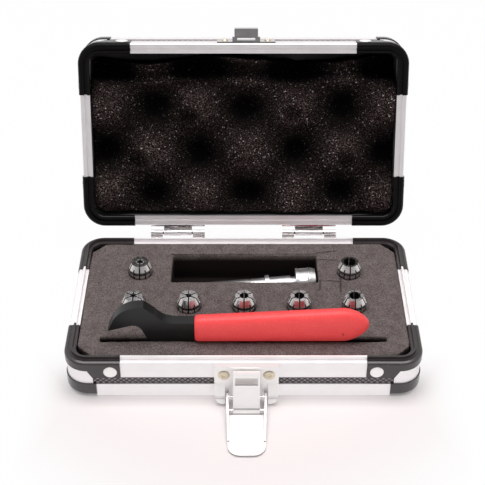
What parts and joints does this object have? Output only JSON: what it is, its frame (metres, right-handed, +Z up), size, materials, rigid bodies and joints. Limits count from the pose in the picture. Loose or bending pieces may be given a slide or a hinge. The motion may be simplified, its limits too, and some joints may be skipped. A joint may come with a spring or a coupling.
{
  "type": "boxed collet set",
  "caption": "Hinged aluminium case with foam inserts that holds spring collets, a straight-shank collet chuck and a hook spanner with a dipped grip; a draw latch closes the lid.",
  "frame": {"origin": "centre of the case's underside, on the surface that it stands on", "axes": "+X to the right along the front, +Y from the latch to the hinges, +Z up"},
  "size_m": [0.242, 0.2784, 0.1721],
  "materials": {
    "aluminium": "satin anodised",
    "black_plastic": "satin moulded",
    "board": "fibre board with a black chequered skin",
    "lining": "matt flock",
    "grey_foam": "closed-cell foam",
    "crate_foam": "open-cell foam",
    "nickel": "bright nickel plate",
    "brass_rivet": "dull brass plate",
    "steel": "ground and polished",
    "black_steel": "black satin",
    "red_grip": "dipped vinyl"
  },
  "bodies": {
    "base": {"base_board": "board", "base_walls": "board", "base_rim_front": "aluminium", "base_rim_rear": "aluminium", "base_rim_left": "aluminium", "base_rim_right": "aluminium", "base_edge_bars": "aluminium", "base_corner_posts": "aluminium", "base_corner_front_left": "black_plastic", "base_corner_front_right": "black_plastic", "base_corner_rear_left": "black_plastic", "base_corner_rear_right": "black_plastic", "base_foot_corners": "black_plastic", "base_corner_rivets": "nickel", "base_lining": "lining", "base_foam": "grey_foam", "hinge_left_base_leaf": "aluminium", "hinge_left_pin": "steel", "hinge_right_base_leaf": "aluminium", "hinge_right_pin": "steel", "hinge_rivets_base": "nickel", "latch_plate": "nickel", "latch_rivets": "brass_rivet", "latch_lever_pin": "steel"},
    "lid": {"lid_board": "board", "lid_walls": "board", "lid_rim_front": "aluminium", "lid_rim_rear": "aluminium", "lid_rim_left": "aluminium", "lid_rim_right": "aluminium", "lid_edge_bars": "aluminium", "lid_corner_posts": "aluminium", "lid_corner_front_left": "black_plastic", "lid_corner_front_right": "black_plastic", "lid_corner_rear_left": "black_plastic", "lid_corner_rear_right": "black_plastic", "lid_top_corners": "black_plastic", "lid_corner_rivets": "nickel", "lid_lining": "lining", "lid_foam": "crate_foam", "hinge_left_lid_leaf": "aluminium", "hinge_right_lid_leaf": "aluminium", "hinge_rivets_lid": "nickel", "strike_plate": "nickel", "strike_rivets": "brass_rivet"},
    "latch_lever": {"latch_lever": "nickel", "latch_claw_pin": "steel"},
    "latch_claw": {"latch_claw": "nickel"},
    "collet_rear_left": {"collet_rear_left": "steel"},
    "collet_row_1": {"collet_row_1": "steel"},
    "collet_row_2": {"collet_row_2": "steel"},
    "collet_row_3": {"collet_row_3": "steel"},
    "collet_row_4": {"collet_row_4": "steel"},
    "collet_row_5": {"collet_row_5": "steel"},
    "collet_rear_right": {"collet_rear_right": "steel"},
    "chuck": {"chuck_body": "steel"},
    "chuck_nut": {"chuck_nut": "steel"},
    "spanner": {"spanner_blade": "black_steel", "spanner_grip": "red_grip"}
  },
  "joints": [
    {"name": "lid_hinge", "type": "hinge", "parent": "base", "child": "lid", "pos_m": [0, 0.0739, 0.03], "axis": [-1, 0, 0], "range_deg": [-110, 0], "deforming": ["lid_foam"]},
    {"name": "latch_lever_swing", "type": "hinge", "parent": "base", "child": "latch_lever", "pos_m": [0.002, -0.0764, 0.006], "axis": [1, 0, 0], "range_deg": [-90, 0]},
    {"name": "latch_claw_swing", "type": "hinge", "parent": "latch_lever", "child": "latch_claw", "pos_m": [0.002, -0.0856, 0.003], "axis": [1, 0, 0], "range_deg": [0, 109.55]},
    {"name": "collet_rear_left_lift", "type": "slide", "parent": "base", "child": "collet_rear_left", "axis": [0, 0, 1], "range_m": [0, 0.04]},
    {"name": "collet_row_1_lift", "type": "slide", "parent": "base", "child": "collet_row_1", "axis": [0, 0, 1], "range_m": [0, 0.04]},
    {"name": "collet_row_2_lift", "type": "slide", "parent": "base", "child": "collet_row_2", "axis": [0, 0, 1], "range_m": [0, 0.04]},
    {"name": "collet_row_3_lift", "type": "slide", "parent": "base", "child": "collet_row_3", "axis": [0, 0, 1], "range_m": [0, 0.04]},
    {"name": "collet_row_4_lift", "type": "slide", "parent": "base", "child": "collet_row_4", "axis": [0, 0, 1], "range_m": [0, 0.04]},
    {"name": "collet_row_5_lift", "type": "slide", "parent": "base", "child": "collet_row_5", "axis": [0, 0, 1], "range_m": [0, 0.04]},
    {"name": "collet_rear_right_lift", "type": "slide", "parent": "base", "child": "collet_rear_right", "axis": [0, 0, 1], "range_m": [0, 0.04]},
    {"name": "chuck_lift", "type": "slide", "parent": "base", "child": "chuck", "axis": [0, 0, 1], "range_m": [0, 0.05]},
    {"name": "chuck_nut_turn", "type": "hinge", "parent": "chuck", "child": "chuck_nut", "pos_m": [0.04535, 0.0277, 0.0193], "axis": [0.9968, 0.0567, 0.0568], "continuous": true},
    {"name": "spanner_lift", "type": "slide", "parent": "base", "child": "spanner", "axis": [0, 0, 1], "range_m": [0, 0.04]}
  ],
  "couplings": [
    {"joint": "latch_claw_swing", "follows": "latch_lever_swing", "ratio": -1.2167}
  ]
}
